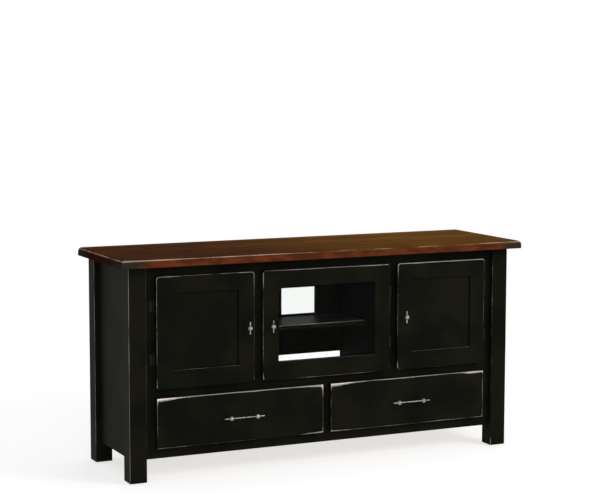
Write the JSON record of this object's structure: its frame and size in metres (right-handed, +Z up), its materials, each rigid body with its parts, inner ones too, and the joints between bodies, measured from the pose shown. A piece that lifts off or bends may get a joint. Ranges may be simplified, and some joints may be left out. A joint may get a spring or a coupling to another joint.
{
  "type": "tv stand",
  "caption": "Wooden TV stand: square posts under a thick overhanging top, overlay doors with a glazed one in the middle, and overlay drawers below.",
  "frame": {"origin": "on the floor under the middle of the top, at the centre of the bounding box's lower face", "axes": "+X to the right as seen from the front, +Y from the front to the back, +Z up"},
  "size_m": [1.516, 0.45, 0.75],
  "materials": {
    "stained_top": "reddish-brown stain under satin lacquer, worn pale at the edges",
    "black_paint": "black semi-gloss paint, rubbed through to the wood at the edges",
    "bare_wood": "clear satin finish on pale solid wood",
    "pewter": "antique nickel plate, darker in the hollows",
    "zinc_steel": "bright zinc plate",
    "dark_steel": "dark bronze lacquer on steel",
    "pane": "clear float glass",
    "glide_plastic": "dark moulded nylon",
    "bumper_rubber": "dark soft polyurethane"
  },
  "bodies": {
    "root": {"top": "stained_top", "post_front_left": "black_paint", "post_front_right": "black_paint", "post_back_left": "black_paint", "post_back_right": "black_paint", "side_panel_left": "black_paint", "side_panel_right": "black_paint", "frame_stile_left": "black_paint", "frame_stile_right": "black_paint", "frame_top_rail": "black_paint", "frame_middle_rail": "black_paint", "frame_bottom_rail": "black_paint", "frame_mullions": "black_paint", "partition_left": "black_paint", "partition_right": "black_paint", "deck": "black_paint", "drawer_partition": "bare_wood", "floor_panel": "bare_wood", "back_panel_left": "black_paint", "back_panel_centre": "black_paint", "back_panel_right": "black_paint", "back_panel_lower": "black_paint", "centre_shelf": "black_paint", "left_shelf": "black_paint", "right_shelf": "black_paint", "shelf_pins": "zinc_steel", "top_battens": "bare_wood", "slide_spacers": "bare_wood", "cabinet_slides": "zinc_steel", "frame_hinges": "dark_steel", "foot_glides": "glide_plastic", "bumpers": "bumper_rubber"},
    "door_left": {"door_left_stiles": "black_paint", "door_left_rails": "black_paint", "door_left_panel": "black_paint", "door_left_knob": "pewter", "door_left_hinges": "dark_steel"},
    "door_centre": {"door_centre_stiles": "black_paint", "door_centre_rails": "black_paint", "door_centre_glass": "pane", "door_centre_beads": "black_paint", "door_centre_knob": "pewter", "door_centre_hinges": "dark_steel"},
    "door_right": {"door_right_stiles": "black_paint", "door_right_rails": "black_paint", "door_right_panel": "black_paint", "door_right_knob": "pewter", "door_right_hinges": "dark_steel"},
    "drawer_left": {"drawer_left_front": "black_paint", "drawer_left_sides": "bare_wood", "drawer_left_ends": "bare_wood", "drawer_left_bottom": "bare_wood", "drawer_left_pull": "pewter", "drawer_left_slides": "zinc_steel"},
    "drawer_right": {"drawer_right_front": "black_paint", "drawer_right_sides": "bare_wood", "drawer_right_ends": "bare_wood", "drawer_right_bottom": "bare_wood", "drawer_right_pull": "pewter", "drawer_right_slides": "zinc_steel"}
  },
  "joints": [
    {"name": "door_left_hinge", "type": "hinge", "parent": "root", "child": "door_left", "pos_m": [-0.63, -0.171, 0.4985], "axis": [0, 0, -1], "range_deg": [0, 110]},
    {"name": "door_centre_hinge", "type": "hinge", "parent": "root", "child": "door_centre", "pos_m": [0.2465, -0.171, 0.4985], "axis": [0, 0, 1], "range_deg": [0, 110]},
    {"name": "door_right_hinge", "type": "hinge", "parent": "root", "child": "door_right", "pos_m": [0.63, -0.171, 0.4985], "axis": [0, 0, 1], "range_deg": [0, 110]},
    {"name": "drawer_left_slide", "type": "slide", "parent": "root", "child": "drawer_left", "axis": [0, -1, 0], "range_m": [0, 0.26]},
    {"name": "drawer_right_slide", "type": "slide", "parent": "root", "child": "drawer_right", "axis": [0, -1, 0], "range_m": [0, 0.26]}
  ]
}
